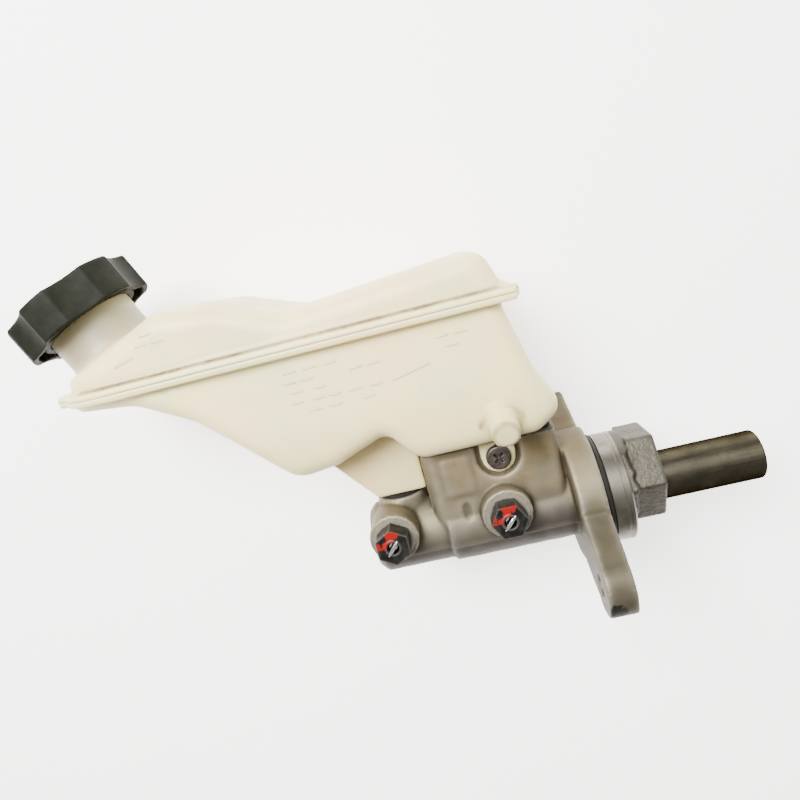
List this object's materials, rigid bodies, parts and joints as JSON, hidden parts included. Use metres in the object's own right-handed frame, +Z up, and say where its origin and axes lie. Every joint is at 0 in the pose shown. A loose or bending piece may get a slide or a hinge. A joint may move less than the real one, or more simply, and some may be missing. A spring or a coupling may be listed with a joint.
{
  "type": "brake master cylinder",
  "caption": "Tandem brake master cylinder: cast body with flange and nose, black plunger, translucent reservoir with leaning filler neck and lobed screw cap.",
  "frame": {"origin": "bore axis at the flange's booster-side face", "axes": "+X along the bore towards the brake booster, +Z up with the reservoir on top, outlet ports towards -Y"},
  "size_m": [0.2878, 0.0996, 0.1817],
  "materials": {
    "cast_aluminium": "die cast, stained",
    "black_piston": "hard anodised, satin",
    "zinc_steel": "zinc plated",
    "spring_steel": "oiled wire",
    "rubber": "moulded",
    "bush_plastic": "moulded",
    "nut_steel": "black coated",
    "pipe_steel": "cut and pinched",
    "reservoir_plastic": "moulded polypropylene, milky",
    "cap_plastic": "moulded, satin",
    "strainer_plastic": "moulded",
    "float_plastic": "moulded",
    "magnet": "sintered ferrite",
    "sensor_plastic": "moulded",
    "screw_steel": "dull, oiled"
  },
  "bodies": {
    "housing": {"cylinder_body": "cast_aluminium", "secondary_spring": "spring_steel", "secondary_pressure_seal": "rubber", "separating_seal": "rubber", "primary_pressure_seal": "rubber", "primary_vacuum_seal": "rubber", "guide_bush": "bush_plastic", "snap_ring": "spring_steel", "flange_seal": "rubber", "rear_tube_nut": "nut_steel", "front_tube_nut": "nut_steel", "rear_flare_seat": "zinc_steel", "front_flare_seat": "zinc_steel", "rear_pipe_stub": "pipe_steel", "front_pipe_stub": "pipe_steel", "rear_grommet": "rubber", "front_grommet": "rubber", "reservoir_lower": "reservoir_plastic", "reservoir_upper": "reservoir_plastic", "filler_strainer": "strainer_plastic", "level_sensor": "sensor_plastic", "retaining_screw": "screw_steel"},
    "primary_piston": {"primary_piston": "black_piston", "captive_bolt": "zinc_steel"},
    "secondary_piston": {"secondary_piston": "black_piston", "spring_sleeve": "zinc_steel", "primary_spring": "spring_steel"},
    "cap_gasket": {"cap_gasket": "rubber"},
    "filler_cap": {"filler_cap": "cap_plastic"},
    "level_float": {"level_float": "float_plastic", "float_magnet": "magnet"}
  },
  "joints": [
    {"name": "primary_stroke", "type": "slide", "parent": "housing", "child": "primary_piston", "axis": [-1, 0, 0], "range_m": [0, 0.028], "stiffness_N_per_m": 1500, "springref_m": -0.03, "deforming": ["primary_spring"]},
    {"name": "secondary_stroke", "type": "slide", "parent": "housing", "child": "secondary_piston", "axis": [-1, 0, 0], "range_m": [0, 0.012], "deforming": ["secondary_spring"]},
    {"name": "cap_lift", "type": "slide", "parent": "housing", "child": "cap_gasket", "axis": [-0.4067, 0, 0.9135], "range_m": [0, 0.006]},
    {"name": "cap_turn", "type": "hinge", "parent": "cap_gasket", "child": "filler_cap", "pos_m": [-0.1933, 0, 0.1307], "axis": [-0.4067, 0, 0.9135], "range_deg": [0, 450]},
    {"name": "float_rise", "type": "slide", "parent": "housing", "child": "level_float", "axis": [0, 0, 1], "range_m": [0, 0.024]}
  ],
  "couplings": [
    {"joint": "secondary_stroke", "follows": "primary_stroke", "ratio": 0.42857},
    {"joint": "cap_turn", "follows": "cap_lift", "rad_per_m": 1308.9}
  ]
}
